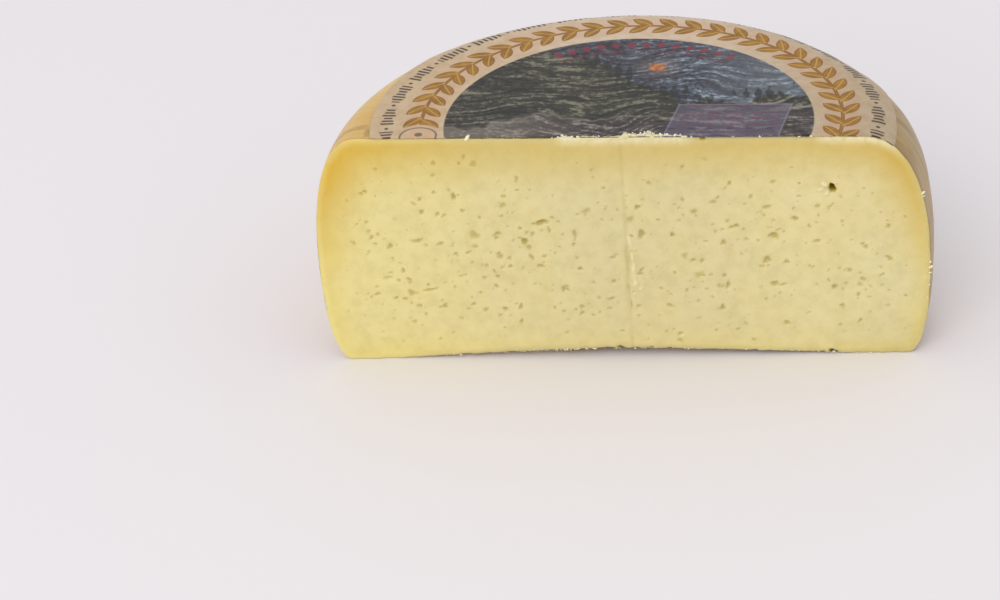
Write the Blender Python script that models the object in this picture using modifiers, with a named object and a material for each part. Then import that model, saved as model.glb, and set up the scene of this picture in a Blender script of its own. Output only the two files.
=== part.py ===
"""Half of a round cured goat's cheese, standing on its base with its cut face to the front (-Y).

Two pieces: the cheese, and the round paper label on its top, cut through with it. Units are metres,
+Z is up, and the origin is under the middle of the box that the two pieces fill.
"""

import math

import bmesh
import bpy
import numpy as np
from mathutils import Matrix, Vector

MM = 0.001

# The whole wheel before it was cut
WHEEL_RADIUS = 70.0 * MM
WHEEL_HEIGHT = 57.7 * MM
WIDEST_HEIGHT = 22.0 * MM
FOOT_HEIGHT = 19.5 * MM
TOP_EDGE_WIDTH = 13.0 * MM
FOOT_WIDTH = 4.7 * MM
EDGE_POWER = 2.28
FOOT_POWER = 2.07
WHEEL_STEPS = 92
TOP_EDGE_POINTS = 11
FOOT_POINTS = 6
TOP_RINGS = (12.0 * MM, 26.0 * MM, 40.0 * MM)

# How the pressed wheel departs from a true round
LEAN = -0.022
SHOULDER_BULGE = 2.2 * MM
SHOULDER_ANGLE = 0.235
SHOULDER_SPREAD = 0.227
SHOULDER_WIDENING = 2.0 * MM
OVAL = 1.4 * MM
ARCH_RISE = 2.2 * MM
ARCH_HALF_WIDTH = 54.0 * MM
ARCH_DEPTH = 30.0 * MM

# The cut, made in two strokes that meet near the middle
CUT_OFFSET = 4.9 * MM
CUT_STEP = 0.5 * MM
STEP_X = 2.4 * MM
STEP_HEIGHT = 23.0 * MM
STEP_SPREAD = 9.0 * MM
KNIFE_SPAN = 170.0 * MM
KNIFE_RISE = 90.0 * MM
KNIFE_THICKNESS = 85.0 * MM
KNIFE_COLUMNS = 22
KNIFE_ROWS = 9

# Eyes in the cut face: x, height, half length, half height, tilt in degrees, depth, in millimetres
LARGE_EYES = (
    (48.2, 43.8, 0.9, 1.1, 20, 3.2),
    (-17.2, 36.6, 1.5, 0.9, 10, 1.4),
    (-21.4, 31.6, 1.0, 0.9, -30, 1.3),
    (-20.6, 29.9, 0.5, 0.8, 40, 0.7),
    (-32.8, 33.6, 1.2, 1.2, 0, 0.8),
    (-36.7, 43.8, 0.6, 1.2, 0, 1.1),
    (-46.2, 32.3, 1.7, 0.6, 15, 0.8),
    (-52.7, 31.0, 0.9, 0.9, 30, 0.9),
    (-9.8, 33.4, 0.6, 1.3, 0, 0.9),
    (5.4, 33.1, 1.1, 1.1, 0, 1.1),
    (35.1, 32.1, 1.4, 1.0, 0, 1.2),
    (33.7, 39.4, 1.5, 0.5, 5, 0.8),
    (33.6, 26.0, 1.0, 0.9, 20, 1.0),
    (35.1, 19.4, 1.1, 0.8, 10, 1.0),
    (23.2, 13.3, 0.8, 0.8, 0, 1.0),
    (24.5, 19.2, 0.7, 1.1, -20, 0.9),
    (23.8, 30.5, 0.9, 0.8, 25, 0.9),
    (25.6, 45.6, 0.6, 0.6, 0, 0.9),
    (37.7, 8.8, 0.8, 0.9, 20, 0.8),
    (26.8, 34.7, 0.8, 0.6, -15, 0.8),
    (-49.0, 18.3, 1.0, 1.1, 0, 0.8),
    (-44.5, 19.0, 1.7, 0.6, 8, 0.8),
    (-54.3, 22.6, 1.7, 0.4, 2, 0.6),
    (-27.3, 27.7, 0.8, 0.9, 0, 0.8),
    (-20.1, 27.4, 0.5, 1.1, 35, 0.7),
    (-18.2, 25.0, 1.0, 0.6, -20, 0.8),
    (-27.4, 33.9, 1.0, 0.5, 0, 0.8),
    (-40.9, 31.5, 0.9, 0.5, 0, 0.7),
    (44.9, 39.4, 0.8, 0.5, 10, 0.7),
    (21.8, 41.0, 0.9, 0.6, 25, 0.7),
    (37.9, 25.1, 0.8, 0.6, 10, 0.8),
    (-2.5, 15.9, 0.9, 0.6, 10, 0.7),
    (-6.7, 39.4, 1.0, 0.8, 10, 0.7),
    (44.7, 30.4, 1.0, 0.5, 0, 0.7),
    (55.6, 28.6, 0.7, 0.6, 0, 0.7),
    (61.0, 25.3, 0.6, 0.6, 0, 0.6),
    (-57.0, 45.5, 0.6, 0.6, 0, 0.7),
    (-50.3, 24.4, 0.7, 0.9, 0, 0.7),
    (18.0, 22.2, 1.2, 0.8, 0, 0.6),
    (14.9, 27.2, 1.0, 0.8, 0, 0.6),
    (-13.3, 18.6, 0.7, 0.8, 0, 0.8),
    (-9.5, 12.0, 0.5, 0.8, -40, 0.7),
)

# Chips out of the cut's edges: x, height, radius, in millimetres
EDGE_CHIPS = (
    (48.2, 0.6, 1.5),
    (31.0, 1.0, 0.9),
    (6.3, 2.0, 1.0),
    (-0.9, 2.1, 1.3),
    (19.5, 56.8, 0.8),
)

# Small eyes, scattered by a seeded rule
SMALL_EYE_SEED = 11
SMALL_EYES = 120
SMALL_EYE_TRIES = 6000
SMALL_EYE_LEAST = 0.32 * MM
SMALL_EYE_MOST = 0.68 * MM
SMALL_EYE_SPACING = 2.7 * MM
EYE_FREE_MARGIN = 4.5 * MM
DENSE_HEIGHT = 26.0 * MM
DENSE_SPREAD = 21.0 * MM
EYE_ROUGHNESS = 0.14

# The paper label, off the wheel's centre by the two offsets
LABEL_RADIUS = 58.7 * MM
LABEL_X = 3.6 * MM
LABEL_Y = 5.3 * MM
LABEL_THICKNESS = 0.3 * MM
LABEL_GAP = 0.3 * MM
LABEL_STEPS = 72
LABEL_RINGS = 11
LABEL_RING_POWER = 1.9
SLOPE_STEP = 0.2 * MM

PASTE_COLOUR = (0.73, 0.60, 0.25, 1.0)
PAPER_COLOUR = (0.72, 0.60, 0.47, 1.0)

SMOOTH_ANGLE = math.radians(32.0)


def clear_scene():
    for thing in list(bpy.data.objects):
        bpy.data.objects.remove(thing, do_unlink=True)


def new_collection(name, is_helper):
    """A collection in the scene. A helper's objects cut others and are not part of the model."""
    collection = bpy.data.collections.new(name)
    bpy.context.scene.collection.children.link(collection)
    collection.hide_render = is_helper
    return collection


def add_object(name, mesh, collection):
    thing = bpy.data.objects.new(name, mesh)
    collection.objects.link(thing)
    return thing


def principled(name, colour, roughness):
    material = bpy.data.materials.new(name)
    material.use_nodes = True
    shader = material.node_tree.nodes["Principled BSDF"]
    shader.inputs["Base Color"].default_value = colour
    shader.inputs["Roughness"].default_value = roughness
    shader.inputs["Metallic"].default_value = 0.0
    return material


def rim_radius(angle):
    """The wheel's radius by the angle round it: a little oval, with a bulge on the right shoulder."""
    bulge = SHOULDER_BULGE * np.exp(-(((angle - SHOULDER_ANGLE) / SHOULDER_SPREAD) ** 2))
    return WHEEL_RADIUS + bulge + OVAL * np.sin(2.0 * angle)


def edge_width(angle):
    """How wide the top's rounded edge is by the angle round the wheel: widest on the right."""
    return TOP_EDGE_WIDTH + SHOULDER_WIDENING * (0.5 + 0.5 * np.cos(angle)) ** 2


def quarter(points):
    """Angles from 0 to a quarter turn, for a rounded edge of so many points."""
    return np.linspace(0.0, 0.5 * math.pi, points)


def wheel_profile():
    """The turned outline from the top's centre over the edge and down the side to the base's centre."""
    rise = WHEEL_HEIGHT - WIDEST_HEIGHT
    points = [(0.0, WHEEL_HEIGHT)]
    points += [(radius, WHEEL_HEIGHT) for radius in TOP_RINGS]
    for turn in quarter(TOP_EDGE_POINTS):
        across = math.sin(turn) ** (2.0 / EDGE_POWER)
        up = max(math.cos(turn), 0.0) ** (2.0 / EDGE_POWER)
        points.append((WHEEL_RADIUS - TOP_EDGE_WIDTH * (1.0 - across), WIDEST_HEIGHT + rise * up))
    for turn in quarter(FOOT_POINTS)[::-1]:
        across = math.sin(turn) ** (2.0 / FOOT_POWER)
        down = max(math.cos(turn), 0.0) ** (2.0 / FOOT_POWER)
        points.append((WHEEL_RADIUS - FOOT_WIDTH * (1.0 - across), FOOT_HEIGHT * (1.0 - down)))
    points += [(radius, 0.0) for radius in TOP_RINGS[::-1]]
    points.append((0.0, 0.0))
    return points


def top_height(radius, width):
    """Height of the top at this radius of the round wheel, where the rounded edge has this width."""
    reach = np.clip((radius - (WHEEL_RADIUS - width)) / width, 0.0, 1.0)
    up = (1.0 - reach**EDGE_POWER) ** (1.0 / EDGE_POWER)
    return WIDEST_HEIGHT + (WHEEL_HEIGHT - WIDEST_HEIGHT) * up


def widen_edge(radius, z, width):
    """The radius of a turned wheel's point after its top's rounded edge is spread to this width."""
    edge_start = WHEEL_RADIUS - TOP_EDGE_WIDTH
    on_edge = WHEEL_RADIUS - (WHEEL_RADIUS - radius) * width / TOP_EDGE_WIDTH
    on_level = radius * (WHEEL_RADIUS - width) / edge_start
    spread = np.where(radius > edge_start, on_edge, on_level)
    return np.where(z > WIDEST_HEIGHT, spread, radius)


def arch(x, y):
    """How far the base is lifted: most at the middle of the cut, and nothing a short way behind it."""
    across = np.clip(1.0 - np.abs(x / ARCH_HALF_WIDTH) ** 1.5, 0.0, 1.0)
    behind = np.clip(1.0 - (y + CUT_OFFSET) / ARCH_DEPTH, 0.0, 1.0)
    return ARCH_RISE * across * np.clip(behind * behind * (3.0 - 2.0 * behind), 0.0, 1.0)


def press(points):
    """The turned wheel's points moved to the pressed cheese's shape, about the wheel's own centre."""
    x, y, z = points[:, 0], points[:, 1], points[:, 2]
    angle = np.arctan2(y, x)
    radius = widen_edge(np.hypot(x, y), z, edge_width(angle)) * rim_radius(angle) / WHEEL_RADIUS
    x, y = radius * np.cos(angle), radius * np.sin(angle)
    z = z * (1.0 + LEAN * x / WHEEL_HEIGHT)
    lifted = np.clip(1.0 - z / FOOT_HEIGHT, 0.0, 1.0)
    return np.stack([x, y, z + arch(x, y) * lifted], axis=1)


def pressed_top(x, y):
    """Height of the pressed cheese's top over x, y."""
    angle = np.arctan2(y, x)
    radius = np.hypot(x, y) * WHEEL_RADIUS / rim_radius(angle)
    return top_height(radius, edge_width(angle)) * (1.0 + LEAN * x / WHEEL_HEIGHT)


def cut_depth(x, z):
    """How far the cut face stands in front of its plane: the right-hand stroke stands proud at the seam."""
    height = np.exp(-(((z - STEP_HEIGHT) / STEP_SPREAD) ** 2))
    side = np.where(x > STEP_X, np.exp(-np.maximum(x - STEP_X, 0.0) / STEP_SPREAD), 0.0)
    wave = 0.25 * MM * np.sin(x / (17.0 * MM)) * np.sin(z / (14.0 * MM) + 0.6)
    return CUT_STEP * height * side + wave


def move_points(mesh, rule):
    """Puts every vertex of a mesh through a rule on an array of points."""
    points = np.empty(len(mesh.vertices) * 3)
    mesh.vertices.foreach_get("co", points)
    mesh.vertices.foreach_set("co", rule(points.reshape(-1, 3)).ravel())
    mesh.update()


def applied(thing):
    """The object's mesh with its modifiers applied."""
    bpy.context.view_layer.update()
    graph = bpy.context.evaluated_depsgraph_get()
    mesh = bpy.data.meshes.new_from_object(thing.evaluated_get(graph))
    thing.modifiers.clear()
    thing.data = mesh
    return mesh


def turned(name, profile, steps, collection):
    """A profile at +X turned round Z and applied as a mesh."""
    mesh = bpy.data.meshes.new(name)
    corners = [(radius, 0.0, height) for radius, height in profile]
    mesh.from_pydata(corners, [(i, i + 1) for i in range(len(corners) - 1)], [])
    thing = add_object(name, mesh, collection)
    screw = thing.modifiers.new("turn", "SCREW")
    screw.angle = 2.0 * math.pi
    screw.axis = "Z"
    screw.steps = steps
    screw.render_steps = steps
    screw.use_merge_vertices = True
    screw.merge_threshold = 0.00001
    screw.use_smooth_shade = True
    applied(thing)
    return thing


def make_wheel(collection):
    wheel = turned("cheese", wheel_profile(), WHEEL_STEPS, collection)
    move_points(wheel.data, press)
    return wheel


def label_profile():
    """The label's radii, from its centre to its edge, closer together where it bends over the shoulder."""
    spans = 1.0 - np.linspace(1.0, 0.0, LABEL_RINGS + 1) ** LABEL_RING_POWER
    return [(LABEL_RADIUS * span, 0.0) for span in spans]


def drape(points):
    """The flat label's points laid on the cheese's top, a gap above it along the surface's normal."""
    x = points[:, 0] + LABEL_X
    y = points[:, 1] + LABEL_Y
    z = pressed_top(x, y)
    slope_x = (pressed_top(x + SLOPE_STEP, y) - pressed_top(x - SLOPE_STEP, y)) / (2.0 * SLOPE_STEP)
    slope_y = (pressed_top(x, y + SLOPE_STEP) - pressed_top(x, y - SLOPE_STEP)) / (2.0 * SLOPE_STEP)
    normal = np.stack([-slope_x, -slope_y, np.ones_like(x)], axis=1)
    normal /= np.linalg.norm(normal, axis=1)[:, None]
    return np.stack([x, y, z], axis=1) + LABEL_GAP * normal


def make_label(collection):
    label = turned("label", label_profile(), LABEL_STEPS, collection)
    move_points(label.data, drape)
    wall = label.modifiers.new("paper", "SOLIDIFY")
    wall.thickness = LABEL_THICKNESS
    wall.offset = 1.0
    applied(label)
    return label


def make_knife(collection):
    """A block whose back is the cut face. It removes the front half of the wheel."""
    mesh = bpy.data.meshes.new("knife")
    sheet = bmesh.new()
    bmesh.ops.create_grid(sheet, x_segments=KNIFE_COLUMNS, y_segments=KNIFE_ROWS, size=0.5)
    place = Matrix.Translation((0.0, -CUT_OFFSET, 0.4 * KNIFE_RISE)) @ Matrix.Rotation(-0.5 * math.pi, 4, "X")
    place = place @ Matrix.Diagonal((KNIFE_SPAN, KNIFE_RISE, 1.0, 1.0))
    bmesh.ops.transform(sheet, matrix=place, verts=sheet.verts)
    for vertex in sheet.verts:
        vertex.co.y -= float(cut_depth(vertex.co.x, vertex.co.z))
    front = bmesh.ops.extrude_face_region(sheet, geom=sheet.faces[:])["geom"]
    for vertex in [part for part in front if isinstance(part, bmesh.types.BMVert)]:
        vertex.co.y = -CUT_OFFSET - KNIFE_THICKNESS
    bmesh.ops.recalc_face_normals(sheet, faces=sheet.faces)
    sheet.to_mesh(mesh)
    sheet.free()
    return add_object("knife", mesh, collection)


def eye_cutter(name, place, half_sizes, tilt, detail, rng, collection):
    """A ball pressed to the eye's half sizes, roughened, tilted in the cut face and set in it."""
    mesh = bpy.data.meshes.new(name)
    ball = bmesh.new()
    bmesh.ops.create_icosphere(ball, subdivisions=detail, radius=1.0)
    turn = Matrix.Rotation(tilt, 4, "Y")
    for vertex in ball.verts:
        vertex.co *= 1.0 + EYE_ROUGHNESS * float(rng.uniform(-1.0, 1.0))
        vertex.co = Vector([size * part for size, part in zip(half_sizes, vertex.co)])
        vertex.co = turn @ vertex.co + Vector(place)
    ball.to_mesh(mesh)
    ball.free()
    return add_object(name, mesh, collection)


def scatter_small_eyes(rng):
    """Places for the small eyes: most at mid height, none near the rind, and none in another eye."""
    taken = [(row[0] * MM, row[1] * MM) for row in LARGE_EYES]
    chosen = []
    for _ in range(SMALL_EYE_TRIES):
        x = float(rng.uniform(-WHEEL_RADIUS, WHEEL_RADIUS))
        z = float(rng.uniform(0.0, WHEEL_HEIGHT))
        density = math.exp(-(((z - DENSE_HEIGHT) / DENSE_SPREAD) ** 2))
        if rng.uniform() > density or len(chosen) >= SMALL_EYES:
            continue
        if abs(x) > WHEEL_RADIUS - EYE_FREE_MARGIN or z < EYE_FREE_MARGIN:
            continue
        if z > float(pressed_top(abs(x) + EYE_FREE_MARGIN, 0.0)) - EYE_FREE_MARGIN:
            continue
        if min(math.hypot(x - a, z - b) for a, b in taken) < SMALL_EYE_SPACING:
            continue
        taken.append((x, z))
        chosen.append((x, z))
    return chosen


def face_y(x, z):
    """The cut face's y at this place on it."""
    return -CUT_OFFSET - float(cut_depth(x, z))


def make_eye_cutters(collection):
    rng = np.random.default_rng(SMALL_EYE_SEED)
    for number, (x, z, length, height, tilt, depth) in enumerate(LARGE_EYES):
        place = (x * MM, face_y(x * MM, z * MM), z * MM)
        sizes = (length * MM, depth * MM, height * MM)
        eye_cutter(f"eye_{number}", place, sizes, -math.radians(tilt), 2, rng, collection)
    for number, (x, z) in enumerate(scatter_small_eyes(rng)):
        length = float(rng.uniform(SMALL_EYE_LEAST, SMALL_EYE_MOST))
        sizes = (length, 0.8 * length, length * float(rng.uniform(0.5, 0.9)))
        tilt = float(rng.uniform(-0.8, 0.8))
        eye_cutter(f"small_eye_{number}", (x, face_y(x, z), z), sizes, tilt, 1, rng, collection)
    for number, (x, z, radius) in enumerate(EDGE_CHIPS):
        place = (x * MM, face_y(x * MM, z * MM), z * MM)
        sizes = (radius * MM, 0.8 * radius * MM, 0.7 * radius * MM)
        eye_cutter(f"chip_{number}", place, sizes, 0.0, 2, rng, collection)


def cut_with(thing, name, cutter=None, collection=None):
    """Removes a cutter, or every object of a collection, from the thing."""
    boolean = thing.modifiers.new(name, "BOOLEAN")
    boolean.operation = "DIFFERENCE"
    boolean.solver = "EXACT"
    if collection is None:
        boolean.object = cutter
    else:
        boolean.operand_type = "COLLECTION"
        boolean.collection = collection
    applied(thing)


def remove_all(collection):
    for thing in list(collection.objects):
        bpy.data.objects.remove(thing, do_unlink=True)
    bpy.data.collections.remove(collection)


def finish(thing, material):
    """The piece's material, and smooth shading with the cut's edges kept sharp."""
    thing.data.materials.clear()
    thing.data.materials.append(material)
    thing.data.shade_smooth()
    thing.data.set_sharp_from_angle(angle=SMOOTH_ANGLE)


def stand_on_origin(things):
    """Moves the pieces so that the origin is under the middle of their box."""
    corners = []
    for thing in things:
        points = np.empty(len(thing.data.vertices) * 3)
        thing.data.vertices.foreach_get("co", points)
        corners.append(points.reshape(-1, 3))
    box = np.concatenate(corners)
    low, high = box.min(axis=0), box.max(axis=0)
    shift = Vector((-0.5 * (low[0] + high[0]), -0.5 * (low[1] + high[1]), -low[2]))
    for thing in things:
        thing.data.transform(Matrix.Translation(shift))
        thing.data.update()


def main():
    clear_scene()
    model = new_collection("half_goat_cheese", False)
    knives = new_collection("knives", True)
    eyes = new_collection("eye_cutters", True)
    cheese = make_wheel(model)
    label = make_label(model)
    knife = make_knife(knives)
    for thing in (cheese, label):
        cut_with(thing, "halve", cutter=knife)
    make_eye_cutters(eyes)
    cut_with(cheese, "eyes", collection=eyes)
    remove_all(eyes)
    remove_all(knives)
    finish(cheese, principled("cheese_paste", PASTE_COLOUR, 0.5))
    finish(label, principled("label_paper", PAPER_COLOUR, 0.45))
    stand_on_origin([cheese, label])


main()
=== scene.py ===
import math

import bpy
import mathutils
import numpy as np
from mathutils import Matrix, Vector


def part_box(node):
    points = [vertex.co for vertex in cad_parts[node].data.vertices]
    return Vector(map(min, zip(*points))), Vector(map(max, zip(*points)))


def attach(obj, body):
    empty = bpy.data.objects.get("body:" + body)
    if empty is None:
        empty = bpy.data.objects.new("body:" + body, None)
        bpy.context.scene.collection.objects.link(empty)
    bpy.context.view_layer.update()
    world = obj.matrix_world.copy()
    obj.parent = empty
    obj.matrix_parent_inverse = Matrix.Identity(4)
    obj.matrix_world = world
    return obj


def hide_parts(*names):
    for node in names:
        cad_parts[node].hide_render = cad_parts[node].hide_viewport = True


# Half of a round cured goat's cheese, cut face to the front, under half of its round printed paper label.
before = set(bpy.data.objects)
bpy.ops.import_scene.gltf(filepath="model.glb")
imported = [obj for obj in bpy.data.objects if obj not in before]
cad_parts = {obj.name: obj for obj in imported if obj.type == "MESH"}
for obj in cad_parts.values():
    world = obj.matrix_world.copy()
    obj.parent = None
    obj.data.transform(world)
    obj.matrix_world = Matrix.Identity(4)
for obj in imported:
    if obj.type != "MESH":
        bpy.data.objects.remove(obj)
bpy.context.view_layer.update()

# The cheese: semi-hard goat's curd, pressed in a round hoop and cured until it has a smooth thin rind.
# A knife halved it in two strokes that met near the middle, and tore the curd a little at the edges.

MM = 0.001
WHEEL_RADIUS = 70.0 * MM
WHEEL_HEIGHT = 57.7 * MM
WIDEST_HEIGHT = 22.0 * MM
FOOT_HEIGHT = 19.5 * MM
TOP_EDGE_WIDTH = 13.0 * MM
FOOT_WIDTH = 4.7 * MM
EDGE_POWER = 2.28
FOOT_POWER = 2.07
LEAN = -0.022
SHOULDER_BULGE = 2.2 * MM
SHOULDER_ANGLE = 0.235
SHOULDER_SPREAD = 0.227
SHOULDER_WIDENING = 2.0 * MM
OVAL = 1.4 * MM
ARCH_RISE = 2.2 * MM
ARCH_HALF_WIDTH = 54.0 * MM
ARCH_DEPTH = 30.0 * MM
CUT_OFFSET = 4.9 * MM

COLUMNS = 480
MIDDLE_CROWDING = 0.3
FACE_ROWS = 150
TOP_ROWS = 30
BASE_ROWS = 16
EDGE_ROW_STEPS = (0.5 * MM, 1.2 * MM)


def rim_radius(angle):
    """Radius by the angle round the wheel: a slightly oval round, with a bell-shaped bulge at the right."""
    bulge = SHOULDER_BULGE * np.exp(-(((angle - SHOULDER_ANGLE) / SHOULDER_SPREAD) ** 2))
    return WHEEL_RADIUS + bulge + OVAL * np.sin(2.0 * angle)


def top_height(radius, angle):
    """Top of the round wheel: level, then a superellipse from the edge's start down to the widest height.

    The rounded edge is widest at angle 0, on the right, by the square of a raised cosine.
    """
    width = TOP_EDGE_WIDTH + SHOULDER_WIDENING * (0.5 + 0.5 * np.cos(angle)) ** 2
    reach = np.clip((radius - WHEEL_RADIUS + width) / width, 0.0, 1.0)
    return WIDEST_HEIGHT + (WHEEL_HEIGHT - WIDEST_HEIGHT) * (1.0 - reach**EDGE_POWER) ** (1.0 / EDGE_POWER)


def base_height(radius, angle):
    """Base of the round wheel: level, then a superellipse up to the foot's height, alike all round."""
    reach = np.clip((radius - WHEEL_RADIUS + FOOT_WIDTH) / FOOT_WIDTH, 0.0, 1.0) + 0.0 * angle
    return FOOT_HEIGHT * (1.0 - (1.0 - reach**FOOT_POWER) ** (1.0 / FOOT_POWER))


def press(x, y, z):
    """The turned wheel's points pressed out of round, thicker at the left and arched up under the cut."""
    stretch = rim_radius(np.arctan2(y, x)) / WHEEL_RADIUS
    x, y = x * stretch, y * stretch
    z = z * (1.0 + LEAN * x / WHEEL_HEIGHT)
    across = np.clip(1.0 - np.abs(x / ARCH_HALF_WIDTH) ** 1.5, 0.0, 1.0)
    behind = np.clip(1.0 - (y + CUT_OFFSET) / ARCH_DEPTH, 0.0, 1.0)
    lift = ARCH_RISE * across * behind * behind * (3.0 - 2.0 * behind)
    return x, y, z + lift * np.clip(1.0 - z / FOOT_HEIGHT, 0.0, 1.0)


def pressed_top(x, y):
    """Height of the pressed cheese's top over x, y."""
    angle = np.arctan2(y, x)
    radius = np.hypot(x, y) * WHEEL_RADIUS / rim_radius(angle)
    return top_height(radius, angle) * (1.0 + LEAN * x / WHEEL_HEIGHT)


def soft_noise(x, y, size, seed):
    """Smooth noise from -1 to 1: random values on a square lattice of that size, blended by smoothstep."""
    lattice = np.random.default_rng(seed).uniform(-1.0, 1.0, (256, 256))
    u, v = x / size + 64.0, y / size + 64.0
    i, j = np.floor(u).astype(int), np.floor(v).astype(int)
    s, t = u - i, v - j
    s, t = s * s * (3.0 - 2.0 * s), t * t * (3.0 - 2.0 * t)
    i, j, k, m = i % 256, j % 256, (i + 1) % 256, (j + 1) % 256
    near = lattice[i, j] * (1.0 - s) + lattice[k, j] * s
    far = lattice[i, m] * (1.0 - s) + lattice[k, m] * s
    return near * (1.0 - t) + far * t


def skin_object(name, loops, first, last, materials):
    """A closed mesh from closed loops between two poles. Returns it, and each face's place in its loop."""
    count, around = loops.shape[:2]
    points = np.concatenate([loops.reshape(-1, 3), [first], [last]])
    here = np.arange(count * around).reshape(count, around)
    turn = np.roll(here, -1, axis=1)
    quads = np.stack([here[:-1], here[1:], turn[1:], turn[:-1]], axis=-1).reshape(-1, 4)
    low = np.full(around, count * around)
    start = np.stack([low, here[0], turn[0]], axis=-1)
    end = np.stack([here[-1], low + 1, turn[-1]], axis=-1)
    corners = np.concatenate([quads.ravel(), start.ravel(), end.ravel()]).astype(np.int32)
    sides = np.concatenate([np.full(len(quads), 4), np.full(2 * around, 3)]).astype(np.int32)
    mesh = bpy.data.meshes.new(name)
    mesh.vertices.add(len(points))
    mesh.vertices.foreach_set("co", points.astype(np.float32).ravel())
    mesh.loops.add(len(corners))
    mesh.loops.foreach_set("vertex_index", corners)
    mesh.polygons.add(len(sides))
    mesh.polygons.foreach_set("loop_start", np.concatenate([[0], np.cumsum(sides)[:-1]]).astype(np.int32))
    mesh.polygons.foreach_set("loop_total", sides)
    mesh.update(calc_edges=True)
    mesh.shade_smooth()
    for material in materials:
        mesh.materials.append(material)
    thing = bpy.data.objects.new(name, mesh)
    bpy.context.scene.collection.objects.link(thing)
    rows = np.concatenate([np.tile(np.arange(around), count - 1), np.arange(around), np.arange(around)])
    return thing, rows


def add_attribute(thing, name, values):
    """A float for each vertex, for the materials to read."""
    layer = thing.data.attributes.new(name, "FLOAT", "POINT")
    layer.data.foreach_set("value", np.asarray(values, np.float32).ravel())


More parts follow.
